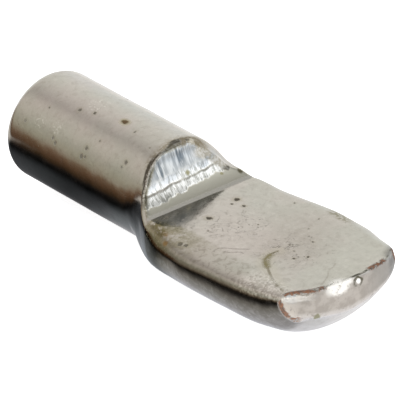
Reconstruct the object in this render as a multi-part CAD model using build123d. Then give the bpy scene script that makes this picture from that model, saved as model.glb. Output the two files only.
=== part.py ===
from build123d import *
import math
import os

# Shelf support pin: one cold-formed piece of plated steel. A round shank goes
# into the hole in the cabinet side; a wider paddle with a flat top carries the
# shelf. Millimetres. Origin on the shank axis where it enters the hole's mouth,
# +X out of the cabinet wall toward the paddle tip, +Z up, square to the flat.
# The shape is drawn from the foot of the shoulder, then moved by MOUTH.

# ---- driving dimensions -----------------------------------------------------
SHANK_D = 6.30            # shank diameter, a slide fit in a 1/4 in hole
OVERALL = 25.4            # shank end to paddle tip
PADDLE = 12.00            # foot of the shoulder to the tip
MOUTH = 3.00              # mouth of the hole to the foot of the shoulder
END_ROUND = 0.75          # rounding of the shank's far end
END_SKEW = 1.5            # the far end is sheared this many degrees off square
FLAT_Z = 0.51             # flat above the shank axis
STEP_LEAN = 1.78          # how far the top of the shoulder leans back
STEP_HOLLOW = 0.42        # hollow of the sheared shoulder face
STEP_ROLL = 0.45          # rolled-over upper edge of the shoulder

R = SHANK_D / 2
SHANK_L = OVERALL - PADDLE
FORGED_START = -2.75      # where the shank begins to bulge into the paddle

# Shape of the forged end, square to the axis. The bulge is not quite even:
# (x, height of the widest point, half width -Y, half width +Y, depth below the
# axis, height above it, exponent of the curve below, exponent above on +Y)
SHAPE = [
    (FORGED_START, 0.00, R, R, R, R, 2.00, 2.00),
    (-2.10, 0.00, 3.220, 3.165, 3.210, R, 2.40, 2.00),
    (-1.60, 0.00, 3.350, 3.190, 3.400, R, 2.90, 2.00),
    (-1.10, 0.00, 3.540, 3.250, 3.457, R, 3.15, 2.00),
    (-0.50, -0.10, 3.830, 3.460, 3.400, R, 3.04, 2.10),
    (0.30, -0.24, 4.180, 3.790, 3.260, 2.30, 2.79, 2.40),
    (1.00, -0.33, 4.400, 3.900, 3.230, 1.70, 2.53, 2.60),
    (1.90, -0.39, 4.580, 4.000, 3.200, 1.38, 2.31, 2.75),
    (3.80, -0.28, 4.800, 4.310, 3.150, 1.36, 2.20, 2.60),
    (6.25, -0.11, 4.720, 4.600, 3.150, 1.30, 2.26, 2.50),
    (8.10, -0.07, 4.530, 4.580, 3.280, 1.36, 2.19, 2.25),
    (9.50, -0.05, 4.260, 4.300, 3.180, 1.40, 2.10, 2.30),
    (10.50, 0.10, 4.020, 4.100, 2.780, 1.45, 2.11, 2.20),
    (11.10, 0.25, 3.950, 3.900, 2.250, 1.50, 1.90, 2.00),
    (11.60, 0.30, 3.920, 3.900, 1.700, 1.50, 1.60, 2.00),
    (12.20, 0.30, 3.900, 3.880, 1.050, 1.40, 1.50, 2.00),
]
# plan outline of the sheared tip, (y, x) from the foot of the shoulder
TIP_OUTLINE = [
    (-4.40, 10.30), (-3.90, 10.90), (-3.10, 11.27), (-2.20, 11.72), (-1.10, 11.94),
    (0.00, PADDLE), (1.10, 11.98), (2.20, 11.88), (2.90, 11.70), (3.40, 11.46),
    (3.90, 11.12), (4.40, 10.65),
]
# stations at which the loft follows that shape
STATIONS = [
    FORGED_START, -2.4, -2.0, -1.6, -1.2, -0.8, -0.4, 0.0, 0.5, 1.1, 1.9, 3.0,
    4.2, 5.4, 6.6, 7.7, 8.6, 9.4, 10.0, 10.5, 10.9, 11.2, 11.5, 11.8, 12.2,
]
SECTION_POINTS = 28


def slopes(xs, ys):
    """Slopes of the smooth curve that never swings past its points."""
    h = [b - a for a, b in zip(xs, xs[1:])]
    d = [(b - a) / w for a, b, w in zip(ys, ys[1:], h)]
    m = [d[0]]
    for i in range(1, len(xs) - 1):
        if d[i - 1] * d[i] <= 0:
            m.append(0.0)
        else:
            w1 = 2 * h[i] + h[i - 1]
            w2 = h[i] + 2 * h[i - 1]
            m.append((w1 + w2) / (w1 / d[i - 1] + w2 / d[i]))
    m.append(d[-1])
    m[0] = 0.0
    return m


def curve(xs, ys, x):
    """Value of that curve at x."""
    m = slopes(xs, ys)
    i = 0
    while i < len(xs) - 2 and x > xs[i + 1]:
        i += 1
    w = xs[i + 1] - xs[i]
    t = (x - xs[i]) / w
    return (
        ys[i] * (1 + 2 * t) * (1 - t) ** 2
        + m[i] * w * t * (1 - t) ** 2
        + ys[i + 1] * t * t * (3 - 2 * t)
        - m[i + 1] * w * t * t * (1 - t)
    )


def section_wire(x):
    """Closed section, widest a little below the axis and fuller below than above."""
    if x == FORGED_START:
        return Wire([Edge.make_circle(R, Plane.YZ.offset(x))])
    xs = [row[0] for row in SHAPE]
    mid, front, back, below, above, power, upper = (
        curve(xs, [row[k] for row in SHAPE], x) for k in range(1, 8)
    )
    pts = []
    for i in range(SECTION_POINTS):
        a = 2 * math.pi * i / SECTION_POINTS
        c, s = math.cos(a), math.sin(a)
        n = power if s < 0 else (upper if c >= 0 else 2.0)
        h = above - mid if s >= 0 else below + mid
        half = back if c >= 0 else front
        y = half * math.copysign(abs(c) ** (2 / n), c)
        z = mid + h * math.copysign(abs(s) ** (2 / n), s)
        pts.append(Vector(x, y, z))
    return Wire([Edge.make_spline(pts, periodic=True)])


def forged_end():
    """Lofted paddle, its tip sheared off to a bow with cut-back corners."""
    body = Solid.make_loft([section_wire(x) for x in STATIONS])
    bow = [Vector(x, y, -10) for y, x in TIP_OUTLINE]
    ends = [bow[-1], Vector(10.0, 8, -10), Vector(-6, 8, -10), Vector(-6, -8, -10),
            Vector(10.0, -8, -10), bow[0]]
    wire = Wire([Edge.make_spline(bow)]
                + [Edge.make_line(a, b) for a, b in zip(ends, ends[1:])])
    return body & extrude(Face(wire), 20, dir=(0, 0, 1))


def top_tool():
    """Everything above the flat and in front of the hollow, leaning shoulder."""
    foot = Vector(0, 0, FLAT_Z)
    top = Vector(-STEP_LEAN, 0, R)
    mid = (foot + top) * 0.5 + Vector(-STEP_HOLLOW, 0, 0)
    wire = Wire([
        Edge.make_three_point_arc(foot, mid, top),
        Edge.make_line(top, Vector(-STEP_LEAN, 0, 9)),
        Edge.make_line(Vector(-STEP_LEAN, 0, 9), Vector(20, 0, 9)),
        Edge.make_line(Vector(20, 0, 9), Vector(20, 0, FLAT_Z)),
        Edge.make_line(Vector(20, 0, FLAT_Z), foot),
    ])
    return extrude(Face(wire), 12, dir=(0, 1, 0), both=True)


def build_pin():
    # shank, its far end sheared slightly off square and rounded over
    lean = math.tan(math.radians(END_SKEW))
    x_end = -SHANK_L + (R - END_ROUND) * lean
    shank = Plane.YZ.offset(-SHANK_L - 1) * extrude(Circle(R), SHANK_L + 1 + FORGED_START)
    waste = Face(Wire(Polyline(
        (-SHANK_L - 5, 0, -6), (x_end - 6 * lean, 0, -6),
        (x_end + 6 * lean, 0, 6), (-SHANK_L - 5, 0, 6), close=True,
    ).edges()))
    shank = shank - extrude(waste, 9, dir=(0, 1, 0), both=True)
    shank = shank.fillet(END_ROUND, [shank.edges().sort_by(Axis.X)[0]])
    body = shank + forged_end() - top_tool()
    # the punch drags the upper edge of the shoulder over into a soft roll
    roll = [
        e for e in body.edges()
        if abs(e.center().Y) < 1 and e.bounding_box().size.Y > 5
        and e.bounding_box().size.Z > 2 and FORGED_START < e.center().X < 0
        and e.bounding_box().max.X < 0.01 and e.bounding_box().min.X > FORGED_START + 0.2
    ]
    return Pos(MOUTH, 0, 0) * body.fillet(STEP_ROLL, roll)


pin = build_pin()
print("valid", pin.is_valid, "volume", round(pin.volume, 1), pin.bounding_box())
os.makedirs("parts", exist_ok=True)
export_step(pin, "parts/shelf_pin.step")
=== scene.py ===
import bpy
import math
import numpy as np
from mathutils import Matrix, Vector


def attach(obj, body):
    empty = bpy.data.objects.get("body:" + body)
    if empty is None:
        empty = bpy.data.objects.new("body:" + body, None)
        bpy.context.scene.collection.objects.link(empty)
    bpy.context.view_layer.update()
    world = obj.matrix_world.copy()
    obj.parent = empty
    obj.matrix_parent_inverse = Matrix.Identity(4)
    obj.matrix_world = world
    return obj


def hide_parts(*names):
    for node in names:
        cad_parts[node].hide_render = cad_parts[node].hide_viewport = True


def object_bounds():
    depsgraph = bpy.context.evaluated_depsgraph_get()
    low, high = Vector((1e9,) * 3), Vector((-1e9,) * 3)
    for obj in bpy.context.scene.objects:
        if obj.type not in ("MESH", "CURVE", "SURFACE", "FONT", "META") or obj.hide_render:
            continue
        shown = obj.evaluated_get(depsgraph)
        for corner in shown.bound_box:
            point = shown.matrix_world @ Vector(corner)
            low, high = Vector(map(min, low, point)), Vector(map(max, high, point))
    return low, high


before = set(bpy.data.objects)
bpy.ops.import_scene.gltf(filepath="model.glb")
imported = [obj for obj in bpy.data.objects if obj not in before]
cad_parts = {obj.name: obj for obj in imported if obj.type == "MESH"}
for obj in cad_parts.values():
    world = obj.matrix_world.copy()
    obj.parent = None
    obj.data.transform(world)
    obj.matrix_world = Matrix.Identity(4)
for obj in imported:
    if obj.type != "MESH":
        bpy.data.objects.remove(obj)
cad_lo, cad_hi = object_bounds()

# The surface is worked out in millimetres, in shape coordinates: x from the foot
# of the shoulder, so x here is the row's x less MOUTH.
R = 3.15
MOUTH = 3.0
FLAT_Z = 0.51
PADDLE = 12.0
SHANK_L = 13.4
STEP_LEAN = 1.78
STEP_HOLLOW = 0.42
END_ROUND = 0.75
LEAN = math.tan(math.radians(1.5))
X_END = -SHANK_L + (R - END_ROUND) * LEAN
# (x, height of the widest point, half width -Y, half width +Y, depth below the
# axis, height above it, exponent of the curve below, exponent above on +Y)
SHAPE = np.array([
    (-2.75, 0.00, R, R, R, R, 2.00, 2.00),
    (-2.10, 0.00, 3.220, 3.165, 3.210, R, 2.40, 2.00),
    (-1.60, 0.00, 3.350, 3.190, 3.400, R, 2.90, 2.00),
    (-1.10, 0.00, 3.540, 3.250, 3.457, R, 3.15, 2.00),
    (-0.50, -0.10, 3.830, 3.460, 3.400, R, 3.04, 2.10),
    (0.30, -0.24, 4.180, 3.790, 3.260, 2.30, 2.79, 2.40),
    (1.00, -0.33, 4.400, 3.900, 3.230, 1.70, 2.53, 2.60),
    (1.90, -0.39, 4.580, 4.000, 3.200, 1.38, 2.31, 2.75),
    (3.80, -0.28, 4.800, 4.310, 3.150, 1.36, 2.20, 2.60),
    (6.25, -0.11, 4.720, 4.600, 3.150, 1.30, 2.26, 2.50),
    (8.10, -0.07, 4.530, 4.580, 3.280, 1.36, 2.19, 2.25),
    (9.50, -0.05, 4.260, 4.300, 3.180, 1.40, 2.10, 2.30),
    (10.50, 0.12, 3.970, 4.100, 2.780, 1.45, 2.15, 2.20),
    (11.10, 0.35, 3.840, 3.880, 2.250, 1.45, 2.10, 2.00),
    (11.60, 0.40, 3.800, 3.860, 1.700, 1.45, 1.70, 2.00),
    (12.20, 0.40, 3.780, 3.840, 1.050, 1.40, 1.60, 2.00),
])

# plan outline of the sheared tip, (y, x)
TIP_OUTLINE = np.array([
    (-4.40, 10.30), (-3.90, 10.90), (-3.10, 11.27), (-2.20, 11.72), (-1.10, 11.94),
    (0.00, 12.00), (1.10, 11.98), (2.20, 11.88), (2.90, 11.70), (3.40, 11.46),
    (3.90, 11.12), (4.40, 10.65),
])


# ---- smooth tables and repeatable noise ---------------------------------------
def table(xs, ys, grid):
    """Smooth curve through the points that never swings past them, on a grid."""
    h, d = np.diff(xs), np.diff(ys) / np.diff(xs)
    m = np.zeros(len(xs))
    m[-1] = d[-1]
    for i in range(1, len(xs) - 1):
        if d[i - 1] * d[i] > 0:
            w1, w2 = 2 * h[i] + h[i - 1], h[i] + 2 * h[i - 1]
            m[i] = (w1 + w2) / (w1 / d[i - 1] + w2 / d[i])
    g = np.clip(grid, xs[0], xs[-1])
    i = np.clip(np.searchsorted(xs, g, side="right") - 1, 0, len(xs) - 2)
    t = (g - xs[i]) / h[i]
    return (ys[i] * (1 + 2 * t) * (1 - t) ** 2 + m[i] * h[i] * t * (1 - t) ** 2
            + ys[i + 1] * t * t * (3 - 2 * t) - m[i + 1] * h[i] * t * t * (1 - t))


GRID = np.arange(-2.75, 12.2001, 0.01)
TIP_Y = np.arange(-4.4, 4.4001, 0.01)
TIP_X = table(TIP_OUTLINE[:, 0], TIP_OUTLINE[:, 1], TIP_Y)
TIP_SLOPE = np.gradient(TIP_X, TIP_Y)
ROWS = [table(SHAPE[:, 0], SHAPE[:, k], GRID) for k in range(1, 8)]


def hashed(ix, iy, iz, seed):
    h = (ix * 374761393 + iy * 668265263 + iz * 2147483647 + seed * 974634777) & 0xFFFFFFFF
    h = ((h ^ (h >> 13)) * 1274126177) & 0xFFFFFFFF
    h = ((h ^ (h >> 16)) * 2246822519) & 0xFFFFFFFF
    return ((h ^ (h >> 15)) & 0xFFFF) / 32767.5 - 1.0


def noise(x, y, z, seed):
    """Smooth noise between about -1 and 1, one feature per unit."""
    fx, fy, fz = np.floor(x), np.floor(y), np.floor(z)
    ix, iy, iz = fx.astype(np.int64), fy.astype(np.int64), fz.astype(np.int64)
    u, v, w = x - fx, y - fy, z - fz
    u, v, w = (t * t * t * (t * (t * 6 - 15) + 10) for t in (u, v, w))
    out = 0.0
    for a in (0, 1):
        for b in (0, 1):
            for c in (0, 1):
                out = out + (hashed(ix + a, iy + b, iz + c, seed)
                             * (u if a else 1 - u) * (v if b else 1 - v) * (w if c else 1 - w))
    return out


def fbm(x, y, z, seed, octaves=3):
    out, amp, total = 0.0, 1.0, 0.0
    for k in range(octaves):
        s = 2.0 ** k
        out = out + amp * noise(x * s + 7.1 * k, y * s + 3.7 * k, z * s + 5.3 * k, seed + k)
        total += amp
        amp *= 0.5
    return out / total


def ramp(t, a, b):
    """Smooth step from 0 at a to 1 at b."""
    t = np.clip((t - a) / (b - a), 0, 1)
    return t * t * (3 - 2 * t)


# ---- the shape as one signed field: negative inside ----------------------------
FOOT = np.array([0.0, FLAT_Z])
TOP = np.array([-STEP_LEAN, R])
MID = (FOOT + TOP) / 2 + np.array([-STEP_HOLLOW, 0.0])


def circle3(a, b, c):
    m = 2 * np.array([b - a, c - a])
    r = np.array([b @ b - a @ a, c @ c - a @ a])
    o = np.linalg.solve(m, r)
    return o, np.linalg.norm(a - o)


ARC_O, ARC_R = circle3(FOOT, MID, TOP)


def body(x, y, z):
    """Forged bar before the flat is cut: shank, bulge and paddle."""
    gx = np.clip(x, GRID[0], GRID[-1])
    mid, wm, wp, hd, hu, nd, nu = (np.interp(gx, GRID, r) for r in ROWS)
    w = np.where(y < 0, wm, wp)
    zc = z - mid
    h = np.where(zc < 0, hd + mid, hu - mid)
    n = np.where(zc < 0, nd, np.where(y < 0, 2.0, nu))
    q = ((np.abs(y) / w) ** n + (np.abs(zc) / h) ** n) ** (1 / n)
    q = np.maximum(q, 1e-5)
    return (1 - 1 / q) * np.maximum(np.hypot(y, zc), 1e-5)


def unit(f, x, y, z, e=0.004):
    """Field f divided by its slope, so that it measures distance."""
    v = f(x, y, z)
    gx = (f(x + e, y, z) - f(x - e, y, z)) / (2 * e)
    gy = (f(x, y + e, z) - f(x, y - e, z)) / (2 * e)
    gz = (f(x, y, z + e) - f(x, y, z - e)) / (2 * e)
    return v / np.clip(np.sqrt(gx * gx + gy * gy + gz * gz), 0.3, 2.2)


def cut(a, b, r):
    """Where both fields are solid, the edge between them rounded to r."""
    return np.minimum(-r, np.maximum(a, b)) + np.hypot(np.maximum(r + a, 0), np.maximum(r + b, 0))


def ledge(y):
    """Height of the torn ledge across the shoulder face."""
    return 1.40 + 0.030 * y + 0.05 * noise(y * 1.1, 0 * y, 0 * y, 31) + 0.03 * noise(y * 4, 0 * y, 0 * y, 32)


def smooth_edge(y):
    """Upper limit of the cleanly sheared strip at the shoulder's foot."""
    return (0.98 + 0.05 * y + 0.07 * noise(y * 1.3 + 5, 0 * y, 0 * y, 33)
            + 0.05 * noise(y * 5.0, 0 * y, 0 * y, 34))


def relief(y, z):
    """Torn surface of the shoulder face, positive toward the tip."""
    zs, zl = smooth_edge(y), ledge(y)
    fade = 1 - ramp(y, 1.8, 2.4)
    torn = ramp(z, zs, zs + 0.12) * (1 - ramp(z, 2.75, 3.0))
    lines = (0.55 * noise(y * 3.1, z * 0.35, 0 * y, 41) + 0.45 * noise(y * 6.0, z * 0.6, 0 * y, 42))
    # two torn steps, each steeper than the hollow, with a short drop between them
    patch = 0.80 + 0.55 * noise(y * 1.9, 0 * y, 0 * y, 43)
    one = np.clip((z - zs) / (zl - zs), 0, 1) * (1 - ramp(z, zl - 0.03, zl + 0.07))
    two = np.clip((z - zl - 0.02) / 0.45, 0, 1) * (1 - ramp(z, zl + 0.47, zl + 1.2))
    return fade * (0.020 * torn * lines + patch * (0.036 * one + 0.09 * two))


def shoulder(x, y, z):
    """Positive in front of the hollow shoulder face."""
    g = np.maximum(ARC_R - np.hypot(x - ARC_O[0], z - ARC_O[1]), x - 0.02)
    return g - relief(y, z) * (1 - ramp(x, 0.1, 0.5))


def tip_distance(x, y):
    """How far in front of the sheared tip a point is."""
    k = np.interp(y, TIP_Y, TIP_SLOPE)
    return (x - np.interp(y, TIP_Y, TIP_X)) / np.sqrt(1 + k * k)


def rim_radius(x, y):
    left = 0.34 + 0.10 * ramp(x, 0.6, 2.6) - 0.08 * ramp(x, 4.5, 6.5) + 0.10 * ramp(x, 8.5, 10.5)
    right = 0.24 + 0.06 * ramp(x, 1.0, 3.0)
    return np.where(y < 0, left, right) * (1 + 0.12 * noise(x * 0.9, y * 0.5, 0 * x, 51))


def arc_radius(y):
    """Rounding of the shoulder's upper edge: a crisp lip on -Y, rolled on +Y."""
    return 0.12 + 0.30 * ramp(y, -1.6, -0.3) + 0.36 * ramp(y, 0.6, 2.2)


def field(x, y, z):
    f1 = unit(body, x, y, z)
    # slight hand-forged unevenness of the whole surface
    f1 = f1 + 0.010 * fbm(x * 0.45, y * 0.6, z * 0.6, 11, 2) + 0.003 * noise(x * 1.7, y * 1.7, z * 1.7, 14)
    g = shoulder(x, y, z)
    top = z - FLAT_Z - 0.004 * noise(x * 0.35, y * 0.35, 0 * x, 12)
    r = 0.025
    open_ = -cut(-top, -g, r)                        # outside: above the flat and in front
    step_w = ramp(z, FLAT_Z + 0.15, FLAT_Z + 0.75) * (1 - ramp(x, -0.1, 0.3))
    rr = rim_radius(x, y) * (1 - step_w) + arc_radius(y) * step_w
    f = cut(f1, open_, rr)
    # the bowed shear at the tip, its edge chipped and dragged
    rag = (0.040 * noise(y * 2.3, z * 1.6, 0 * y, 61) + 0.022 * noise(y * 6.0, z * 3.0, 0 * y, 62))
    near = ramp(z, -0.1, 0.45)
    sunk = 0.05 + 0.10 * ramp(y, 2.5, 3.3) + 0.10 * (1 - ramp(np.abs(y + 3.0), 0.4, 0.9)) + 0.03 * (1 - ramp(np.abs(y + 0.9), 0.4, 1.0))
    tip = tip_distance(x, y) + near * (sunk + rag)
    f = cut(f, tip, 0.09)
    end = (X_END + z * LEAN) - x
    return cut(f, end, END_ROUND)


def gradient(x, y, z, e=0.006):
    gx = field(x + e, y, z) - field(x - e, y, z)
    gy = field(x, y + e, z) - field(x, y - e, z)
    gz = field(x, y, z + e) - field(x, y, z - e)
    return np.stack([gx, gy, gz], 1) / (2 * e)


def settle(v, rounds):
    """Moves the points square to the field until they lie on its zero surface."""
    for _ in range(rounds):
        f = field(v[:, 0], v[:, 1], v[:, 2])
        g = gradient(v[:, 0], v[:, 1], v[:, 2])
        s = np.linalg.norm(g, axis=1)
        step = np.clip(f / np.maximum(s, 0.3), -0.12, 0.12)
        v = v - (step / np.maximum(s, 1e-6))[:, None] * g
    return v


# ---- mesh ----------------------------------------------------------------------
VOXEL = 0.088


def unfold(mesh, v, edges, count):
    """Smooths out places where the surface has folded over itself."""
    for _ in range(3):
        mesh.vertices.foreach_set("co", v.ravel())
        mesh.update()
        n = np.empty(len(v) * 3, dtype=np.float32)
        mesh.vertex_normals.foreach_get("vector", n)
        n = n.reshape(-1, 3)
        g = gradient(v[:, 0], v[:, 1], v[:, 2])
        g /= np.maximum(np.linalg.norm(g, axis=1), 1e-6)[:, None]
        bad = (n * g).sum(1) < 0.55
        if not bad.any():
            break
        for _ in range(3):
            near = bad[edges[:, 0]] | bad[edges[:, 1]]
            bad[edges[near].ravel()] = True
        for _ in range(6):
            total = np.stack([np.bincount(edges[:, 0], v[edges[:, 1], k], len(v))
                              + np.bincount(edges[:, 1], v[edges[:, 0], k], len(v)) for k in range(3)], 1)
            v[bad] = (total / count[:, None])[bad]
        v[bad] = settle(v[bad], 3)
    return v


def pin_mesh():
    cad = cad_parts["shelf_pin"]
    src = bpy.data.meshes.new_from_object(cad)
    n = len(src.vertices)
    co = np.empty(n * 3)
    src.vertices.foreach_get("co", co)
    co = co.reshape(-1, 3) * 1000.0
    co[:, 0] -= MOUTH
    src.vertices.foreach_set("co", co.ravel())
    src.update()
    tmp = bpy.data.objects.new("tmp_remesh", src)
    bpy.context.scene.collection.objects.link(tmp)
    mod = tmp.modifiers.new("remesh", "REMESH")
    mod.mode = "VOXEL"
    mod.voxel_size = VOXEL
    mod.adaptivity = 0.0
    dg = bpy.context.evaluated_depsgraph_get()
    mesh = bpy.data.meshes.new_from_object(tmp.evaluated_get(dg))
    bpy.data.objects.remove(tmp)
    v = np.empty(len(mesh.vertices) * 3)
    mesh.vertices.foreach_get("co", v)
    v = v.reshape(-1, 3)
    edges = np.empty(len(mesh.edges) * 2, dtype=np.int64)
    mesh.edges.foreach_get("vertices", edges)
    edges = edges.reshape(-1, 2)
    count = np.bincount(edges.ravel(), minlength=len(v)).astype(float)
    v = settle(v, 4)
    for _ in range(3):
        total = np.zeros_like(v)
        for k in range(3):
            total[:, k] = (np.bincount(edges[:, 0], v[edges[:, 1], k], len(v))
                           + np.bincount(edges[:, 1], v[edges[:, 0], k], len(v)))
        move = total / count[:, None] - v
        g = gradient(v[:, 0], v[:, 1], v[:, 2])
        g /= np.maximum(np.linalg.norm(g, axis=1), 1e-6)[:, None]
        move -= (move * g).sum(1)[:, None] * g
        v = settle(v + 0.6 * move, 1)
    v = unfold(mesh, settle(v, 1), edges, count)
    v = settle(v, 1)
    return mesh, v


mesh, V = pin_mesh()
row = V.copy()
row[:, 0] += MOUTH
mesh.vertices.foreach_set("co", (row / 1000.0).ravel())
mesh.update()
mesh.name = "pin_surface"
mesh.materials.clear()
for p in mesh.polygons:
    p.use_smooth = True


def attribute(name, values):
    a = mesh.attributes.new(name, "FLOAT", "POINT")
    a.data.foreach_set("value", np.ascontiguousarray(values, dtype=np.float32))


def line_distance(points, v):
    """Distance in mm from each vertex to a smooth line through the given row points."""
    best = np.full(len(v), 1e9)
    p = np.array(points, dtype=float)
    p = np.vstack([2 * p[0] - p[1], p, 2 * p[-1] - p[-2]])
    pts = []
    for k in range(1, len(p) - 2):
        for t in (0.0, 0.25, 0.5, 0.75):
            pts.append(0.5 * (2 * p[k] + (p[k + 1] - p[k - 1]) * t
                              + (2 * p[k - 1] - 5 * p[k] + 4 * p[k + 1] - p[k + 2]) * t ** 2
                              + (3 * p[k] - p[k - 1] - 3 * p[k + 1] + p[k + 2]) * t ** 3))
    pts = np.array(pts + [p[-2]])
    for p0, p1 in zip(pts, pts[1:]):
        d = p1 - p0
        t = np.clip(((v - p0) @ d) / (d @ d), 0, 1)
        best = np.minimum(best, np.linalg.norm(v - p0 - t[:, None] * d, axis=1))
    return best


X, Y, Z = V[:, 0], V[:, 1], V[:, 2]
# where each point lies on the part, in mm: depth inside the outer wall, distance in
# front of the shoulder face, distance from the sheared tip, heights on the face
attribute("wall", unit(body, X, Y, Z))
attribute("face", np.clip(shoulder(X, Y, Z), -9, 9))
attribute("tip", tip_distance(X, Y))
attribute("above_smooth", Z - smooth_edge(Y))
attribute("above_ledge", Z - ledge(Y))
F = FLAT_Z
# thin stain ring, its broad olive start, and the hooked scratches on the flat
attribute("ring", line_distance([(10.17, -0.84, F), (10.17, -1.25, F), (10.28, -1.68, F), (10.53, -2.04, F),
                                 (10.89, -2.27, F), (11.28, -2.47, F), (11.66, -2.69, F), (12.15, -2.94, F),
                                 (12.77, -3.19, F), (13.34, -3.34, F), (13.8, -3.4, F)], row))
attribute("crescent", line_distance([(10.24, -1.40, F), (10.40, -1.82, F), (10.72, -2.12, F), (11.05, -2.33, F)], row))
attribute("ring_far", line_distance([(14.4, -1.5, F), (14.0, -0.75, F), (13.5, -0.2, F), (13.42, 0.15, F),
                                     (13.2, 0.5, F)], row))
attribute("hook", line_distance([(7.96, -3.42, F), (7.85, -3.0, F), (8.05, -2.7, F), (8.5, -2.34, F),
                                 (9.0, -1.85, F)], row))
attribute("hook_two", line_distance([(8.3, -3.0, F), (8.65, -2.75, F), (8.9, -2.4, F), (9.15, -2.35, F)], row))

pin = bpy.data.objects.new("pin_surface", mesh)
bpy.context.scene.collection.objects.link(pin)
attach(pin, "root")
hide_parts("shelf_pin")


# ---- material ------------------------------------------------------------------
class Nodes:
    """Small helper that adds nodes and wires them."""

    def __init__(self, tree):
        self.t = tree

    def new(self, kind, **props):
        n = self.t.nodes.new(kind)
        for k, v in props.items():
            setattr(n, k, v)
        return n

    def put(self, socket, value):
        if isinstance(value, bpy.types.NodeSocket):
            self.t.links.new(value, socket)
        elif value is not None:
            socket.default_value = value

    def math(self, op, a, b=None, c=None, clamp=False):
        n = self.new("ShaderNodeMath", operation=op, use_clamp=clamp)
        self.put(n.inputs[0], a)
        if b is not None:
            self.put(n.inputs[1], b)
        if c is not None:
            self.put(n.inputs[2], c)
        return n.outputs[0]

    def vmath(self, op, a, b=None):
        n = self.new("ShaderNodeVectorMath", operation=op)
        self.put(n.inputs[0], a)
        if b is not None:
            self.put(n.inputs[1], b)
        return n.outputs["Value"] if op in ("DISTANCE", "LENGTH", "DOT_PRODUCT") else n.outputs[0]

    def step(self, x, a, b, lo=0.0, hi=1.0):
        n = self.new("ShaderNodeMapRange", interpolation_type="SMOOTHSTEP")
        self.put(n.inputs["Value"], x)
        self.put(n.inputs["From Min"], a)
        self.put(n.inputs["From Max"], b)
        self.put(n.inputs["To Min"], lo)
        self.put(n.inputs["To Max"], hi)
        return n.outputs[0]

    def mix(self, f, a, b, mode="MIX"):
        n = self.new("ShaderNodeMix", data_type="RGBA", blend_type=mode)
        self.put(n.inputs[0], f)
        self.put(n.inputs[6], a)
        self.put(n.inputs[7], b)
        return n.outputs[2]

    def fmix(self, f, a, b):
        n = self.new("ShaderNodeMix", data_type="FLOAT")
        self.put(n.inputs[0], f)
        self.put(n.inputs[2], a)
        self.put(n.inputs[3], b)
        return n.outputs[0]

    def noise(self, vec, scale, detail=3.0, rough=0.5, dist=0.0):
        n = self.new("ShaderNodeTexNoise")
        self.put(n.inputs["Vector"], vec)
        n.inputs["Scale"].default_value = scale
        n.inputs["Detail"].default_value = detail
        n.inputs["Roughness"].default_value = rough
        n.inputs["Distortion"].default_value = dist
        return n.outputs["Fac"]


def rgb(r, g, b):
    return (r, g, b, 1.0)


mat = bpy.data.materials.new("worn_nickel")
mat.use_nodes = True
mat.node_tree.nodes.clear()
N = Nodes(mat.node_tree)
coord = N.new("ShaderNodeTexCoord").outputs["Object"]
mm = N.new("ShaderNodeVectorMath", operation="SCALE")
N.put(mm.inputs[0], coord)
mm.inputs["Scale"].default_value = 1000.0
P = mm.outputs[0]                                   # position in millimetres
bsdf = N.new("ShaderNodeBsdfPrincipled")
out = N.new("ShaderNodeOutputMaterial")
N.t.links.new(bsdf.outputs[0], out.inputs[0])



def attr(name):
    n = N.new("ShaderNodeAttribute", attribute_type="GEOMETRY")
    n.attribute_name = name
    return n.outputs["Fac"]


def both(*masks):
    m = masks[0]
    for k in masks[1:]:
        m = N.math("MULTIPLY", m, k)
    return m


def either(*masks):
    m = masks[0]
    for k in masks[1:]:
        m = N.math("MAXIMUM", m, k)
    return m


def invert(m):
    return N.math("SUBTRACT", 1.0, m)


def band(x, a, b, soft):
    """1 where x lies between a and b."""
    return N.math("MULTIPLY", N.step(x, a - soft, a + soft), N.step(x, b + soft, b - soft))


def warped(amount, scale):
    n = N.new("ShaderNodeTexNoise")
    N.put(n.inputs["Vector"], P)
    n.inputs["Scale"].default_value = scale
    n.inputs["Detail"].default_value = 2.0
    off = N.vmath("SUBTRACT", n.outputs["Color"], (0.5, 0.5, 0.5))
    sc = N.new("ShaderNodeVectorMath", operation="SCALE")
    N.put(sc.inputs[0], off)
    sc.inputs["Scale"].default_value = amount
    return N.vmath("ADD", P, sc.outputs[0])


def spot(c, r, soft=0.35, size=(1, 1, 1), vec=None):
    """Roughly round patch of radius r about the point c."""
    v = N.vmath("SUBTRACT", vec if vec is not None else PW, c)
    if size != (1, 1, 1):
        v = N.vmath("MULTIPLY", v, tuple(1 / k for k in size))
    return N.step(N.vmath("LENGTH", v), r * (1 + soft), r * (1 - soft))


PW = warped(0.16, 4.0)                     # ragged outlines
PB = warped(0.9, 0.9)                      # loose, wandering outlines
sepP = N.new("ShaderNodeSeparateXYZ")
N.put(sepP.inputs[0], P)
px, py, pz = sepP.outputs[0], sepP.outputs[1], sepP.outputs[2]
wall, face, tip = attr("wall"), attr("face"), attr("tip")
above_smooth, above_ledge = attr("above_smooth"), attr("above_ledge")

fine = N.noise(P, 7.0, 4.0, 0.6)
medium = N.noise(P, 1.6, 4.0, 0.55)
broad = N.noise(P, 0.35, 3.0)
grit = N.noise(P, 16.0, 2.0, 0.5)

on_flat = both(band(pz, FLAT_Z - 0.06, FLAT_Z + 0.12, 0.03), N.step(px, 2.9, 3.05))
on_face = both(N.step(N.math("ABSOLUTE", face), 0.09, 0.05), N.step(pz, 0.53, 0.58), N.step(px, 3.1, 3.0))
on_tip = both(N.step(tip, -0.14, -0.08), N.step(px, 12.0, 12.5))
in_front = N.step(px, 2.9, 3.3)

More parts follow.
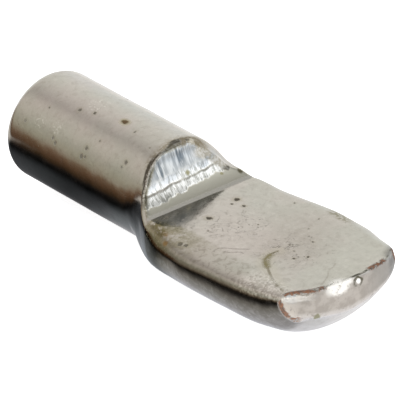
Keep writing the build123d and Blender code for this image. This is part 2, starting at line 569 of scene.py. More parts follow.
# nickel: greener grey and pinker grey clouds, duller where handled
nickel = N.mix(N.step(broad, 0.38, 0.62), rgb(0.655, 0.65, 0.60), rgb(0.69, 0.66, 0.62))
pink = both(spot((7.6, -1.6, 0.5), 2.6, 0.5, vec=PB), on_flat)
nickel = N.mix(N.math("MULTIPLY", pink, 0.7), nickel, rgb(0.70, 0.645, 0.61))
green = both(N.step(px, 10.5, 13.0), N.step(py, -1.5, 1.0), on_flat)
nickel = N.mix(N.math("MULTIPLY", green, 0.6), nickel, rgb(0.665, 0.67, 0.61))
smudge = both(spot((10.4, -0.1, 0.5), 1.9, 0.6, vec=PB), on_flat)
nickel = N.mix(N.math("MULTIPLY", smudge, 0.52), nickel, rgb(0.54, 0.49, 0.45))
shade = both(spot((9.0, 1.9, 0.5), 1.5, 0.7, size=(1.3, 1.0, 1.0), vec=PB), on_flat)
nickel = N.mix(N.math("MULTIPLY", shade, 0.40), nickel, rgb(0.53, 0.50, 0.45))
nickel = N.mix(N.step(medium, 0.45, 0.75, 0.0, 0.10), nickel, rgb(0.45, 0.42, 0.38))
nickel = N.mix(N.step(fine, 0.55, 0.8, 0.0, 0.14), nickel, rgb(0.42, 0.38, 0.34))
nickel = N.mix(N.step(grit, 0.62, 0.75, 0.0, 0.25), nickel, rgb(0.86, 0.85, 0.82))
colour = nickel
rough = N.math("ADD", N.step(medium, 0.3, 0.7, 0.10, 0.17), N.step(fine, 0.4, 0.8, 0.0, 0.05))
metal = None
dirt_and_shade = None
rust = None

# clusters of tiny dark specks
cells = N.new("ShaderNodeTexVoronoi", feature="F1")
N.put(cells.inputs["Vector"], PW)
cells.inputs["Scale"].default_value = 2.6
specks = N.step(cells.outputs["Distance"], 0.15, 0.05)
where = N.step(N.noise(P, 0.55, 2.0), 0.50, 0.60)
wriggle = N.math("ABSOLUTE", N.math("SUBTRACT", N.noise(P, 1.1, 2.0, 0.5, 1.6), 0.5))
veins = both(N.step(wriggle, 0.020, 0.005), N.step(fine, 0.40, 0.54))
clusters = either(spot((6.9, -0.4, 0.5), 1.3, 0.5, vec=PB), both(spot((10.9, 0.0, 0.5), 1.6, 0.5, vec=PB), N.step(fine, 0.4, 0.6)),
                  N.math("MULTIPLY", where, 0.45))
veined = either(spot((6.6, -0.6, 0.5), 1.5, 0.5, vec=PB), both(spot((10.6, 0.0, 0.5), 1.8, 0.5, vec=PB), N.step(medium, 0.40, 0.55)),
                N.math("MULTIPLY", where, 0.15))
speckle = either(both(specks, clusters), N.math("MULTIPLY", both(veins, veined), 0.7))
mottle = N.noise(P, 3.2, 3.0, 0.6, 0.6)

# pits through the plate, each with a rusty or yellowish halo
PITS = [
    (4.42, 1.21, 0.51, 0.13, 0.95), (4.63, 0.69, 0.51, 0.06, 0.5), (5.23, 1.02, 0.51, 0.085, 0.8),
    (4.99, -1.21, 0.51, 0.13, 0.9), (3.45, -2.88, 0.51, 0.09, 0.6), (5.97, -4.01, 0.40, 0.13, 0.7),
    (6.35, -3.91, 0.40, 0.10, 0.6), (10.11, 0.04, 0.51, 0.05, 0.6), (10.68, 1.14, 0.51, 0.07, 0.6),
    (11.72, -0.10, 0.51, 0.06, 0.8), (10.75, -0.25, 0.51, 0.05, 0.5), (11.35, -0.75, 0.51, 0.07, 0.6),
    (7.30, 0.25, 0.51, 0.05, 0.5), (9.45, 1.9, 0.51, 0.04, 0.5), (6.05, -2.15, 0.51, 0.05, 0.35),
    (-5.69, -1.29, 2.87, 0.11, 0.75), (-4.71, -1.03, 2.97, 0.085, 0.8), (-1.47, -0.89, 3.02, 0.08, 0.6),
    (-6.24, -2.78, 1.48, 0.10, 0.55), (-5.95, -2.86, 1.30, 0.11, 0.6), (-8.7, -2.73, 1.57, 0.10, 0.4), (-3.60, -2.57, 1.82, 0.12, 0.7), (-2.97, -2.12, 2.33, 0.07, 0.5), (-0.50, -2.34, 2.11, 0.10, 0.7), (-0.60, -2.55, 1.85, 0.07, 0.5),
    (-3.75, -2.84, 1.35, 0.13, 0.65), (-3.45, -2.81, 1.42, 0.08, 0.6), (-7.6, -1.9, 2.5, 0.05, 0.6), (0.25, -1.3, 2.87, 0.05, 0.6),
    (-5.1, 1.5, 2.77, 0.06, 0.6), (-1.9, 2.2, 2.25, 0.07, 0.6), (-4.4, 2.9, -1.2, 0.09, 0.7),
    (6.8, 3.2, 0.51, 0.06, 0.5), (9.0, 3.0, 0.51, 0.05, 0.5), (8.2, 1.9, -3.0, 0.12, 0.8),
    (2.1, -1.9, -3.1, 0.14, 0.8), (-6.6, -0.8, -3.05, 0.12, 0.8),
]
pits, halos = None, None
for x, y, z, r, k in PITS:
    k = k if x > 2 else 0.78 * k
    core = N.math("MULTIPLY", spot((x, y, z), r, 0.5), k)
    ring = N.math("MULTIPLY", spot((x, y, z), r * 2.1, 0.6), k * 0.55)
    pits = core if pits is None else either(pits, core)
    halos = ring if halos is None else either(halos, ring)
oval = spot((-2.64, -0.63, 3.09), 0.125, 0.35, size=(1.75, 1.25, 1.0))
oval_halo = spot((-2.64, -0.63, 3.09), 0.20, 0.5, size=(1.8, 1.3, 1.0))
colour = N.mix(N.step(mottle, 0.50, 0.72, 0.0, 0.22), colour, rgb(0.40, 0.36, 0.31))
colour = N.mix(N.step(mottle, 0.46, 0.28, 0.0, 0.25), colour, rgb(0.84, 0.82, 0.78))
colour = N.mix(N.math("MULTIPLY", halos, 0.65), colour, rgb(0.36, 0.31, 0.17))
sparkle = both(either(spot((-5.1, -0.48, 3.11), 0.55, 0.5), spot((-6.35, -2.50, 1.90), 0.45, 0.5), spot((-7.6, -2.6, 1.8), 0.4, 0.5),
                      spot((12.6, -3.9, 0.35), 0.5, 0.5)), N.step(fine, 0.54, 0.62))
colour = N.mix(N.math("MULTIPLY", sparkle, 0.7), colour, rgb(0.97, 0.96, 0.92))
colour = N.mix(N.math("MULTIPLY", speckle, 0.55), colour, rgb(0.22, 0.18, 0.14))
colour = N.mix(pits, colour, rgb(0.095, 0.078, 0.042))
colour = N.mix(N.math("MULTIPLY", oval_halo, 0.8), colour, rgb(0.42, 0.36, 0.20))
colour = N.mix(oval, colour, rgb(0.11, 0.065, 0.022))
dirt_and_shade = either(N.math("MULTIPLY", pits, 0.8), oval, N.math("MULTIPLY", oval_halo, 0.5))

# olive crescent and the thin ring that a drop left, hooked scratches
ring, ring_far = attr("ring"), attr("ring_far")
hook, hook_two = attr("hook"), attr("hook_two")
wobble = N.math("MULTIPLY", N.math("SUBTRACT", fine, 0.5), 0.10)
olive = both(N.step(N.math("ADD", attr("crescent"), N.math("MULTIPLY", wobble, 3.0)), 0.32, 0.09), on_flat,
             N.step(fine, 0.38, 0.54, 0.30, 1.0))
olive_line = both(N.step(N.math("ADD", ring, wobble), 0.11, 0.03), N.step(px, 14.3, 13.2), on_flat, N.step(fine, 0.30, 0.48, 0.35, 1.0))
far_line = both(N.step(N.math("ADD", ring_far, wobble), 0.085, 0.02), on_flat, N.step(medium, 0.35, 0.5, 0.3, 1.0))
inner = both(N.step(ring, 0.75, 0.2), N.step(N.vmath("DISTANCE", P, (12.1, -1.0, 0.51)), 2.6, 2.2), on_flat)
scratch = both(either(N.step(N.math("ADD", hook, wobble), 0.09, 0.02), N.step(N.math("ADD", hook_two, wobble), 0.08, 0.02)), on_flat)
colour = N.mix(N.math("MULTIPLY", inner, 0.30), colour, rgb(0.60, 0.56, 0.44))
colour = N.mix(N.math("MULTIPLY", olive_line, 0.75), colour, rgb(0.24, 0.205, 0.12))
colour = N.mix(N.math("MULTIPLY", far_line, 0.45), colour, rgb(0.34, 0.31, 0.26))
colour = N.mix(both(scratch, N.step(fine, 0.35, 0.55, 0.15, 0.5)), colour, rgb(0.34, 0.28, 0.26))
colour = N.mix(N.math("MULTIPLY", olive, 0.85), colour, rgb(0.235, 0.20, 0.08))
dirt_and_shade = either(dirt_and_shade, N.math("MULTIPLY", olive, 0.6))

# greenish grime along the left rim beside the shoulder, fading down the rim
rim = both(N.step(wall, -0.75, -0.35), N.step(pz, -0.25, 0.05), in_front, N.step(py, -2.6, -3.1))
rim_grime = both(rim, N.step(px, 8.6, 5.0), N.step(N.math("MULTIPLY_ADD", medium, 0.6, N.math("MULTIPLY", fine, 0.4)), 0.36, 0.56))
colour = N.mix(N.math("MULTIPLY", rim_grime, 0.75), colour, rgb(0.33, 0.295, 0.17))
rim_spots = both(rim, N.step(px, 7.4, 4.6), N.step(fine, 0.56, 0.66))
colour = N.mix(N.math("MULTIPLY", rim_spots, 0.65), colour, rgb(0.20, 0.165, 0.07))
rim_brown = either(spot((5.13, -4.35, 0.24), 0.14, 0.5), spot((4.55, -3.95, 0.48), 0.20, 0.5))
colour = N.mix(N.math("MULTIPLY", rim_brown, 0.6), colour, rgb(0.34, 0.22, 0.08))
rim_dull = both(rim, N.step(px, 3.0, 6.0), N.step(px, 14.0, 11.5))
colour = N.mix(N.math("MULTIPLY", rim_dull, 0.30), colour, rgb(0.40, 0.38, 0.32))
# painted shade: the left rim darkens from the flat's level downward, olive-toned near the shoulder
rim_low_painted_shade = both(in_front, N.step(py, -2.6, -3.1), N.step(wall, -0.6, -0.3), N.step(pz, 0.46, -0.02), N.step(tip, -0.08, -0.2))
colour = N.mix(both(rim_low_painted_shade, N.step(mottle, 0.25, 0.60, 0.55, 0.85)), colour, N.mix(N.step(px, 6.5, 4.5), rgb(0.27, 0.25, 0.215), rgb(0.20, 0.175, 0.095)))

colour = N.mix(N.math("MULTIPLY", pits, 0.9), colour, rgb(0.075, 0.06, 0.04))
rim_brown = either(spot((5.11, -4.33, 0.22), 0.17, 0.5), spot((4.75, -3.95, 0.48), 0.13, 0.5))
colour = N.mix(N.math("MULTIPLY", rim_brown, 0.75), colour, rgb(0.32, 0.20, 0.07))
rim_olive = both(either(spot((4.31, -4.0, 0.48), 0.36, 0.5), spot((3.75, -3.75, 0.50), 0.30, 0.5)), N.step(fine, 0.34, 0.50))
colour = N.mix(N.math("MULTIPLY", rim_olive, 0.75), colour, rgb(0.17, 0.145, 0.055))
# painted highlight: mottled pale patches on the left rim near the tip
rim_painted_highlight = both(rim, band(px, 11.0, 14.2, 0.5), N.step(N.math("MULTIPLY_ADD", fine, 0.6, N.math("MULTIPLY", medium, 0.4)), 0.42, 0.56))
colour = N.mix(N.math("MULTIPLY", rim_painted_highlight, 0.65), colour, rgb(0.95, 0.93, 0.89))
rim_dark = both(rim, N.step(px, 4.0, 8.0), N.step(mottle, 0.52, 0.62))
colour = N.mix(N.math("MULTIPLY", rim_dark, 0.35), colour, rgb(0.30, 0.27, 0.23))

# shoulder face: a smooth sheared strip, then torn metal, streaked; its pale patches and streaks are painted highlights
# and its bluish-grey upper zone a painted reflection
streak_v = N.new("ShaderNodeMapping", vector_type="POINT")
N.put(streak_v.inputs["Vector"], P)
streak_v.inputs["Scale"].default_value = (0.7, 5.2, 0.75)
streaks = N.noise(streak_v.outputs[0], 1.0, 3.0, 0.6)
streak_b = N.new("ShaderNodeMapping", vector_type="POINT")
N.put(streak_b.inputs["Vector"], P)
streak_b.inputs["Scale"].default_value = (1.6, 6.5, 1.6)
streak_b.inputs["Location"].default_value = (3.1, 0.7, 1.9)
streaks_b = N.noise(streak_b.outputs[0], 1.0, 3.0, 0.65)
far_rim = both(N.step(py, 0.4, 1.4), N.step(wall, -1.00, -0.80))
torn = both(on_face, N.step(above_smooth, -0.02, 0.06), invert(far_rim))
band_one = both(torn, N.step(above_ledge, 0.02, -0.05))
band_two = both(torn, N.step(above_ledge, 0.03, 0.09), N.step(above_ledge, 0.62, 0.30))
upper = both(torn, N.step(above_ledge, 0.25, 0.60))
# painted reflection: the upper torn zone is tinted a bluish grey like the surroundings it mirrors
blue_painted_reflection = N.mix(N.step(streaks, 0.40, 0.58), rgb(0.44, 0.47, 0.49), rgb(0.72, 0.75, 0.77))
colour = N.mix(N.math("MULTIPLY", upper, 0.9), colour, blue_painted_reflection)
dark_patch = either(spot((1.33, -0.25, 2.55), 0.40, 0.5, size=(1.5, 0.9, 1.4)), spot((1.5, -1.75, 2.1), 0.42, 0.5, size=(1.5, 0.8, 1.5)))
colour = N.mix(both(upper, dark_patch, N.step(streaks, 0.62, 0.42, 0.0, 0.8)), colour, rgb(0.15, 0.185, 0.22))
patchy = N.math("MULTIPLY_ADD", medium, 0.35, N.math("MULTIPLY", streaks_b, 0.65))
# painted highlights: pale patches on the two torn bands and pale streaks high on the face
band_one_painted_highlight = both(band_one, N.step(patchy, 0.42, 0.56))
band_two_painted_highlight = both(band_two, N.step(patchy, 0.42, 0.56))
torn_painted_highlight = either(band_one_painted_highlight, band_two_painted_highlight, both(upper, N.step(streaks_b, 0.58, 0.72), N.step(above_ledge, 1.0, 0.5)))
strip = both(on_face, N.step(above_smooth, 0.06, -0.02))
colour = N.mix(N.math("MULTIPLY", strip, 0.9), colour, rgb(0.84, 0.82, 0.73))
# painted shade: the corner where the flat meets the shoulder face is darkened, and made duller and rougher along with
# the grime
crease_painted_shade = both(N.step(N.math("ABSOLUTE", face), 0.07, 0.03), band(pz, 0.49, 0.60, 0.03), N.step(px, 3.14, 3.06))
colour = N.mix(N.math("MULTIPLY", crease_painted_shade, 0.8), colour, rgb(0.36, 0.35, 0.31))
dirt_and_shade = either(dirt_and_shade, N.math("MULTIPLY", crease_painted_shade, 0.7))
# painted shade: a faint darker line along the recess at the ledge
ledge_groove_painted_shade = both(torn, band(above_ledge, -0.03, 0.02, 0.02), N.step(py, -2.6, -2.0), N.step(medium, 0.42, 0.55, 0.25, 1.0))
colour = N.mix(N.math("MULTIPLY", ledge_groove_painted_shade, 0.05), colour, rgb(0.25, 0.25, 0.24))
colour = N.mix(N.math("MULTIPLY", either(band_one, band_two), 0.8), colour, rgb(0.48, 0.49, 0.47))
colour = N.mix(both(on_face, far_rim, N.step(above_smooth, -0.02, 0.06)), colour, N.mix(N.step(fine, 0.40, 0.58), rgb(0.50, 0.49, 0.46), rgb(0.36, 0.34, 0.29)))
face_spot = both(on_face, either(spot((1.93, -0.05, 1.62), 0.15, 0.5), spot((2.35, 1.9, 1.0), 0.10, 0.5)))
foot_spot = spot((2.51, 3.04, 0.81), 0.17, 0.4)
colour = N.mix(N.math("MULTIPLY", foot_spot, 0.85), colour, rgb(0.14, 0.12, 0.05))
colour = N.mix(N.math("MULTIPLY", torn_painted_highlight, 0.95), colour, rgb(0.97, 0.98, 0.98))
edge_stain = both(on_face, N.step(wall, -0.34, -0.14), N.step(py, -1.6, -2.3), N.step(fine, 0.28, 0.46))
colour = N.mix(N.math("MULTIPLY", edge_stain, 0.8), colour, rgb(0.25, 0.225, 0.135))
colour = N.mix(N.math("MULTIPLY", face_spot, 0.8), colour, rgb(0.30, 0.27, 0.10))

# grime packed behind the rolled edge on top; a thin dark line of painted shade behind the lip, and a pale line of
# painted highlight on it
arc_d = N.math("SQRT", N.math("ADD", N.math("MULTIPLY", face, face), N.math("MULTIPLY", wall, wall)))
behind = both(N.step(face, 0.02, -0.05), N.step(pz, 0.7, 1.2), N.step(px, 0.2, 0.6))
arc_top = both(behind, N.step(arc_d, 0.75, 0.35), N.step(pz, 2.0, 2.5), N.step(fine, 0.36, 0.56))
colour = N.mix(N.math("MULTIPLY", arc_top, 0.60), colour, rgb(0.30, 0.26, 0.16))
arc_brown = both(behind, N.step(arc_d, 0.55, 0.25), band(py, 0.1, 1.7, 0.3), N.step(medium, 0.38, 0.52))
colour = N.mix(N.math("MULTIPLY", arc_brown, 0.70), colour, rgb(0.16, 0.115, 0.045))
# painted shade: thin dark line just outside the lip
lip_painted_shade = both(behind, either(band(arc_d, 0.10, 0.22, 0.05), both(band(arc_d, 0.10, 0.36, 0.06), band(pz, 1.7, 2.7, 0.2))),
                N.step(py, -0.9, -1.5), N.step(fine, 0.25, 0.45))
colour = N.mix(N.math("MULTIPLY", lip_painted_shade, 0.9), colour, rgb(0.06, 0.05, 0.035))
# painted highlight: pale line along the lip
lip_painted_highlight = both(N.step(arc_d, 0.12, 0.05), N.step(py, -0.6, -1.4), N.step(pz, 0.9, 1.3), N.step(fine, 0.35, 0.50))
colour = N.mix(N.math("MULTIPLY", lip_painted_highlight, 0.8), colour, rgb(0.95, 0.94, 0.90))

# stain on the far edge
far_edge = both(spot((9.5, 4.15, 0.45), 0.62, 0.5, size=(1.4, 0.6, 0.8)), N.step(fine, 0.38, 0.55))
colour = N.mix(N.math("MULTIPLY", far_edge, 0.75), colour, rgb(0.24, 0.22, 0.12))

# sheared tip: bare pinkish steel with rust round it; its far side painted darker as shade, and painted highlights where
# the burr broke along the top edge, on the lower edge and at the near corner
tip_tone_and_shade = N.mix(N.step(medium, 0.38, 0.62), rgb(0.56, 0.525, 0.485), rgb(0.74, 0.705, 0.66))
tip_tone_and_shade = N.mix(N.step(fine, 0.58, 0.72, 0.0, 0.5), tip_tone_and_shade, rgb(0.42, 0.38, 0.33))
# painted shade: the tip face darkens toward its +Y end
tip_tone_and_shade = N.mix(N.step(py, 0.2, 2.6, 0.0, 0.75), tip_tone_and_shade, rgb(0.40, 0.40, 0.385))
colour = N.mix(N.math("MULTIPLY", on_tip, 0.85), colour, tip_tone_and_shade)
top_edge = both(N.step(tip, -0.26, -0.10), N.step(pz, 0.16, 0.34))
crest_edge = both(N.step(tip, -0.40, -0.26), N.step(N.math("MULTIPLY_ADD", fine, 0.45, pz), 0.60, 0.68), N.step(tip, -0.02, -0.08))
ragged = N.math("MULTIPLY_ADD", fine, 0.6, N.math("MULTIPLY", medium, 0.4))
ends = N.step(N.math("ADD", wall, N.math("MULTIPLY", N.math("SUBTRACT", fine, 0.5), 0.20)), -0.11, -0.05)
rust_top = both(crest_edge, either(band(py, -3.9, -1.5, 0.15), band(py, 1.35, 2.7, 0.15)), N.step(ragged, 0.38, 0.47))
rust_left = both(N.step(tip, -0.16, -0.08), ends, N.step(py, -2.6, -3.2), N.step(pz, -1.05, -0.75), N.step(ragged, 0.32, 0.42))
rust_low = both(N.step(tip, -0.16, -0.08), ends, band(py, -3.5, -2.9, 0.2), N.step(pz, 0.0, -0.3), N.step(ragged, 0.40, 0.50))
rust_corner = both(spot((14.14, 3.88, 0.10), 0.38, 0.35, size=(1.0, 0.9, 1.5)), N.step(ragged, 0.24, 0.38))
rust = either(rust_top, rust_left, rust_low, rust_corner)
# painted shade: the far (+Y) corner of the tip is dark grey
tip_far_corner_painted_shade = both(N.step(tip, -0.75, -0.2), N.step(py, 2.7, 3.2), N.step(px, 13.2, 13.8))
# painted highlight: pale patches along the tip's top edge and on its top rounding
tip_top_painted_highlight = both(top_edge, band(py, -1.5, 0.15, 0.2), N.step(ragged, 0.36, 0.44))
tip_top_painted_highlight = either(tip_top_painted_highlight, both(spot((14.9, -0.75, 0.25), 0.55, 0.4, size=(1.0, 1.3, 0.7)), N.step(ragged, 0.40, 0.50)))
drop = N.vmath("LENGTH", N.vmath("MULTIPLY", N.vmath("SUBTRACT", warped(0.30, 2.6), (14.96, 0.53, 0.17)), (1.0, 1.0, 1.35)))
drop_ring = both(band(drop, 0.20, 0.36, 0.05), N.step(N.noise(P, 2.3, 2.0, 0.5, 0.4), 0.40, 0.52))
drop_in = N.step(drop, 0.20, 0.13)
under_spot = spot((14.72, -2.10, -1.05), 0.20, 0.3)
# painted highlight: pale line along the tip's lower edge
tip_low_painted_highlight = both(on_tip, N.step(wall, -0.24, -0.08), N.step(pz, -0.2, -0.5), N.step(ragged, 0.34, 0.50))
colour = N.mix(N.math("MULTIPLY", tip_low_painted_highlight, 0.75), colour, rgb(0.95, 0.93, 0.91))
# painted highlight: a pale, warm tint at the tip's -Y corner
tip_corner_painted_highlight = both(on_tip, N.step(wall, -0.60, -0.15), N.step(py, -2.7, -3.3), N.step(ragged, 0.40, 0.52))
colour = N.mix(N.math("MULTIPLY", tip_corner_painted_highlight, 0.7), colour, rgb(0.93, 0.88, 0.80))
colour = N.mix(N.math("MULTIPLY", tip_far_corner_painted_shade, 0.65), colour, rgb(0.20, 0.20, 0.20))
colour = N.mix(tip_top_painted_highlight, colour, rgb(0.95, 0.93, 0.88))
rust_colour = N.mix(N.step(fine, 0.42, 0.58), rgb(0.050, 0.019, 0.007), rgb(0.21, 0.068, 0.016))
rust_colour = N.mix(N.step(grit, 0.5, 0.65, 0.0, 0.18), rust_colour, rgb(0.42, 0.25, 0.12))
colour = N.mix(N.math("MULTIPLY", rust, 0.92), colour, rust_colour)
colour = N.mix(N.math("MULTIPLY", drop_ring, 0.9), colour, rgb(0.06, 0.055, 0.02))
colour = N.mix(drop_in, colour, rgb(0.95, 0.95, 0.92))
colour = N.mix(N.math("MULTIPLY", under_spot, 0.85), colour, rgb(0.16, 0.15, 0.06))

# sheared far end of the shank, satin and dull under its plating
shank_end = N.step(px, -10.14, -10.26)
colour = N.mix(N.math("MULTIPLY", shank_end, 0.7), colour, N.mix(N.step(medium, 0.38, 0.62), rgb(0.44, 0.42, 0.38), rgb(0.56, 0.54, 0.50)))
colour = N.mix(both(shank_end, N.step(mottle, 0.56, 0.68)), colour, rgb(0.30, 0.26, 0.19))

highlight_and_drop_white = either(tip_top_painted_highlight, drop_in)
dirt_and_shade = either(dirt_and_shade, N.math("MULTIPLY", rust, 0.95), N.math("MULTIPLY", drop_ring, 0.6), N.math("MULTIPLY", face_spot, 0.6),
              N.math("MULTIPLY", arc_brown, 0.6), N.math("MULTIPLY", under_spot, 0.7), N.math("MULTIPLY", rim_spots, 0.4))
metal = N.math("SUBTRACT", 1.0, either(dirt_and_shade, N.math("MULTIPLY", highlight_and_drop_white, 0.85), N.math("MULTIPLY", shank_end, 0.55)))
rough = N.fmix(dirt_and_shade, rough, 0.75)
rough = N.fmix(N.math("MULTIPLY", torn, 0.8), rough, N.fmix(upper, 0.26, 0.36))
rough = N.fmix(strip, rough, 0.30)
rough = N.fmix(shank_end, rough, 0.48)
rough = N.fmix(on_tip, rough, N.math("MAXIMUM", rough, 0.30))
rough = N.fmix(highlight_and_drop_white, rough, 0.45)
rough = N.fmix(N.math("MULTIPLY", either(olive_line, scratch, speckle), 0.7), rough, 0.4)

N.put(bsdf.inputs["Base Color"], colour)
N.put(bsdf.inputs["Metallic"], metal)
N.put(bsdf.inputs["Roughness"], rough)

# fine relief: grain, streaks, pits, rust crust
height = N.math("MULTIPLY", N.noise(P, 5.0, 3.0, 0.5), 0.0016)
height = N.math("MULTIPLY_ADD", N.noise(P, 0.9, 2.0, 0.5), 0.010, height)
height = N.math("MULTIPLY_ADD", either(pits, oval, N.math("MULTIPLY", speckle, 0.3)), -0.03, height)
height = N.math("MULTIPLY_ADD", N.math("MULTIPLY", torn, streaks_b), 0.018, height)
height = N.math("MULTIPLY_ADD", N.math("MULTIPLY", rust, grit), 0.05, height)
height = N.math("MULTIPLY_ADD", N.math("MULTIPLY", on_tip, fine), 0.02, height)
bump = N.new("ShaderNodeBump")
bump.inputs["Strength"].default_value = 1.0
bump.inputs["Distance"].default_value = 0.001
N.put(bump.inputs["Height"], height)
N.t.links.new(bump.outputs[0], bsdf.inputs["Normal"])
mesh.materials.append(mat)

# ---- stage ---------------------------------------------------------------------
floor_z = cad_lo[2]
fm = bpy.data.meshes.new("floor")
s = 1.2
fm.from_pydata([(-s, -s, floor_z), (s, -s, floor_z), (s, s, floor_z), (-s, s, floor_z)], [], [(0, 1, 2, 3)])
floor = bpy.data.objects.new("floor", fm)
bpy.context.scene.collection.objects.link(floor)
fmat = bpy.data.materials.new("floor_white")
fmat.use_nodes = True
fb = fmat.node_tree.nodes["Principled BSDF"]
fb.inputs["Base Color"].default_value = (0.93, 0.93, 0.93, 1)
fb.inputs["Roughness"].default_value = 0.9
fb.inputs["Specular IOR Level"].default_value = 0.0
fb.inputs["Emission Color"].default_value = (1, 1, 1, 1)
fb.inputs["Emission Strength"].default_value = 0.72
fm.materials.append(fmat)
floor.visible_glossy = False

# ---- light: white studio for the floor, a soft gradient in the reflections -------
world = bpy.data.worlds.new("studio")
bpy.context.scene.world = world
world.use_nodes = True
world.node_tree.nodes.clear()
W = Nodes(world.node_tree)
direction = W.new("ShaderNodeTexCoord").outputs["Generated"]
sep = W.new("ShaderNodeSeparateXYZ")
W.put(sep.inputs[0], direction)
dx, dy, dz = sep.outputs[0], sep.outputs[1], sep.outputs[2]
theta = W.math("ARCTAN2", dz, W.math("MULTIPLY", dy, -1.0))
turn = W.math("ADD", W.math("MULTIPLY", theta, 1 / (2 * math.pi)), 0.5)


def gradient_ramp(nodes, fac, stops):
    n = nodes.new("ShaderNodeValToRGB")
    n.color_ramp.interpolation = "LINEAR"
    els = n.color_ramp.elements
    while len(els) > 1:
        els.remove(els[-1])
    for i, (p, c) in enumerate(stops):
        e = els[0] if i == 0 else els.new(p)
        e.position = p
        e.color = (*c, 1)
    nodes.put(n.inputs[0], fac)
    return n.outputs[0]


def deg(a):
    return a / 360 + 0.5


near = gradient_ramp(W, turn, [
    (deg(-180), (0.86, 0.87, 0.87)), (deg(-160), (0.95, 0.95, 0.96)), (deg(-132), (0.75, 0.77, 0.82)),
    (deg(-118), (0.36, 0.37, 0.41)), (deg(-100), (0.17, 0.175, 0.19)), (deg(-80), (0.095, 0.10, 0.105)),
    (deg(-66), (0.03, 0.03, 0.03)), (deg(-46), (0.012, 0.011, 0.010)), (deg(-36), (0.035, 0.022, 0.013)),
    (deg(-22), (0.11, 0.065, 0.036)), (deg(-10), (0.16, 0.115, 0.075)), (deg(-3), (0.32, 0.27, 0.21)),
    (deg(5), (0.40, 0.37, 0.29)), (deg(20), (0.46, 0.44, 0.37)), (deg(40), (0.60, 0.565, 0.50)),
    (deg(60), (0.64, 0.59, 0.54)), (deg(80), (0.49, 0.45, 0.42)), (deg(108), (0.70, 0.66, 0.62)),
    (deg(138), (0.80, 0.78, 0.735)), (deg(170), (0.83, 0.83, 0.815)),
])
elev = W.math("MULTIPLY_ADD", dz, 0.5, 0.5)
far = gradient_ramp(W, elev, [
    (0.0, (0.95, 0.93, 0.98)), (0.18, (0.85, 0.82, 0.84)), (0.32, (0.60, 0.60, 0.62)), (0.42, (0.55, 0.61, 0.68)),
    (0.5, (0.65, 0.72, 0.80)), (0.604, (0.86, 0.91, 0.96)), (0.655, (1.22, 1.22, 1.22)), (0.750, (1.27, 1.27, 1.25)), (0.794, (1.05, 1.05, 1.02)),
    (0.835, (0.42, 0.42, 0.40)), (0.900, (0.37, 0.37, 0.34)), (0.925, (0.33, 0.33, 0.31)), (0.950, (0.27, 0.27, 0.25)),
    (1.0, (0.26, 0.27, 0.27)),
])
front = W.math("MULTIPLY", W.step(dy, -0.05, -0.45), W.step(dx, -0.25, 0.25))
far = W.mix(front, far, rgb(1.15, 1.13, 1.10))
glossy = W.mix(W.step(dx, -0.45, 0.30), near, far)
zenith = W.math("MULTIPLY", W.math("MULTIPLY", W.step(dz, 0.48, 0.60), W.step(dy, 0.36, 0.48)), W.math("MULTIPLY", W.step(dx, -0.655, -0.56), W.step(dx, 0.20, 0.06)))
glossy = W.mix(zenith, glossy, rgb(0.12, 0.118, 0.10))
path = W.new("ShaderNodeLightPath")
colour = W.mix(path.outputs["Is Glossy Ray"], rgb(1.0, 1.0, 1.0), glossy)
bg = W.new("ShaderNodeBackground")
W.put(bg.inputs[0], colour)
wo = W.new("ShaderNodeOutputWorld")
W.t.links.new(bg.outputs[0], wo.inputs[0])

# what the pin mirrors below the horizon: pale close by, brown and black beyond it
rm = bpy.data.meshes.new("reflector")
rz = floor_z - 0.00002
rm.from_pydata([(-0.5, -0.5, rz), (0.5, -0.5, rz), (0.5, 0.5, rz), (-0.5, 0.5, rz)], [], [(0, 1, 2, 3)])
reflector = bpy.data.objects.new("reflector", rm)
bpy.context.scene.collection.objects.link(reflector)
reflector.visible_camera = False
reflector.visible_diffuse = False
reflector.visible_transmission = False
reflector.visible_shadow = False
rmat = bpy.data.materials.new("reflector_tones")
rmat.use_nodes = True
rmat.node_tree.nodes.clear()
G = Nodes(rmat.node_tree)
gsep = G.new("ShaderNodeSeparateXYZ")
G.put(gsep.inputs[0], G.new("ShaderNodeTexCoord").outputs["Object"])
gx = G.math("MULTIPLY", gsep.outputs[0], 1000.0)
gy = G.math("MULTIPLY", gsep.outputs[1], 1000.0)


def at(y):
    """Place on the ramp of y millimetres to the side, finer close to the pin."""
    return 0.5 + 0.5 * math.copysign(math.sqrt(min(abs(y), 60) / 60), y)


root = G.math("SQRT", G.math("DIVIDE", G.math("MINIMUM", G.math("ABSOLUTE", gy), 60.0), 60.0))
side = G.math("MULTIPLY_ADD", G.math("MULTIPLY", root, G.math("SIGN", gy)), 0.5, 0.5)
tones = gradient_ramp(G, side, [
    (at(-60), (0.30, 0.245, 0.185)), (at(-28), (0.19, 0.12, 0.074)), (at(-14), (0.115, 0.062, 0.034)),
    (at(-9.5), (0.05, 0.028, 0.014)), (at(-7.6), (0.014, 0.012, 0.011)), (at(-6.2), (0.012, 0.012, 0.012)),
    (at(-5.4), (0.08, 0.088, 0.098)), (at(-4.4), (0.185, 0.20, 0.222)), (at(-3.3), (0.245, 0.262, 0.288)),
    (at(-2.4), (0.305, 0.325, 0.355)), (at(-1.6), (0.50, 0.50, 0.53)), (at(0), (0.75, 0.75, 0.79)),
    (at(6), (0.95, 0.94, 0.95)), (at(26), (0.95, 0.94, 0.93)), (at(45), (0.90, 0.88, 0.84)),
])
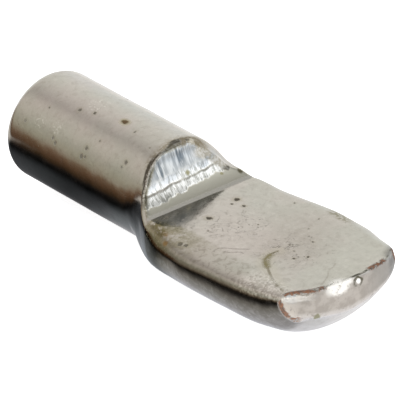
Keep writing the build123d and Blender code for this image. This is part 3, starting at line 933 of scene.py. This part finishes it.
# beside the paddle only a thin line of it is black
paddle_tones = gradient_ramp(G, side, [
    (at(-60), (0.40, 0.36, 0.29)), (at(-28), (0.29, 0.25, 0.19)), (at(-14), (0.17, 0.14, 0.105)),
    (at(-11.3), (0.085, 0.065, 0.045)), (at(-9.8), (0.02, 0.016, 0.012)), (at(-8.6), (0.012, 0.011, 0.010)),
    (at(-8.0), (0.05, 0.047, 0.044)), (at(-7.2), (0.20, 0.19, 0.18)), (at(-6.5), (0.38, 0.37, 0.355)),
    (at(-5.8), (0.50, 0.50, 0.505)), (at(-4.8), (0.61, 0.615, 0.64)), (at(-3.9), (0.68, 0.69, 0.74)),
    (at(-2.9), (0.69, 0.70, 0.76)), (at(-2.0), (0.76, 0.77, 0.82)), (at(0), (0.86, 0.87, 0.91)),
    (at(6), (0.95, 0.94, 0.95)), (at(26), (0.95, 0.94, 0.93)), (at(45), (0.90, 0.88, 0.84)),
])
seen_from = G.math("ADD", gx, G.math("SUBTRACT", G.math("ABSOLUTE", gy), 4.7))
tones = G.mix(G.step(seen_from, 0.5, 3.5), tones, paddle_tones)
# the strip beside the pin is darker toward the shank's far end
dim = gradient_ramp(G, G.math("MULTIPLY_ADD", gx, 1 / 14, 1.0), [
    (0.14, (0.24,) * 3), (0.26, (0.22,) * 3), (0.48, (0.14,) * 3), (0.61, (0.20,) * 3), (0.69, (0.33,) * 3),
    (0.80, (0.72,) * 3), (0.93, (1.0,) * 3),
])
beside = G.math("MULTIPLY", G.step(gy, -8.5, -6.0), G.step(gy, 0.5, -2.0))
dim = G.fmix(beside, 1.0, dim)
gm = G.new("ShaderNodeVectorMath", operation="SCALE")
G.put(gm.inputs[0], tones)
G.put(gm.inputs["Scale"], dim)
ahead = G.step(gx, 14.0, 17.0)
behind = G.math("MULTIPLY", G.step(gx, -15.5, -19.0), G.math("MULTIPLY", G.step(gy, -12.0, -8.0), G.step(gy, 2.5, 0.0)))
ge = G.new("ShaderNodeEmission")
G.put(ge.inputs[0], G.mix(G.math("MULTIPLY", ahead, G.step(gy, -15.0, -8.0)), G.mix(behind, gm.outputs[0], rgb(0.58, 0.55, 0.51)), rgb(0.78, 0.75, 0.725)))
go = G.new("ShaderNodeOutputMaterial")
G.t.links.new(ge.outputs[0], go.inputs[0])
rm.materials.append(rmat)
world.cycles.sampling_method = "MANUAL"
world.cycles.sample_map_resolution = 512

bpy.context.scene.view_settings.view_transform = "Standard"
bpy.context.scene.view_settings.look = "None"
bpy.context.scene.view_settings.exposure = 0.0
bpy.context.scene.view_settings.gamma = 1.0

# ---- camera --------------------------------------------------------------------
cd = bpy.data.cameras.new("cam")
cam = bpy.data.objects.new("cam", cd)
bpy.context.scene.collection.objects.link(cam)
cd.sensor_width = 36.0
cd.lens = 485.6
cd.clip_start, cd.clip_end = 0.01, 5.0
right, up, back = (0.63977, 0.76815, -0.02566), (-0.35286, 0.32323, 0.87809), (0.68279, -0.55271, 0.47783)
cam.matrix_world = Matrix((
    (right[0], up[0], back[0], 0.199099),
    (right[1], up[1], back[1], -0.158912),
    (right[2], up[2], back[2], 0.137653),
    (0, 0, 0, 1),
))
bpy.context.scene.camera = cam
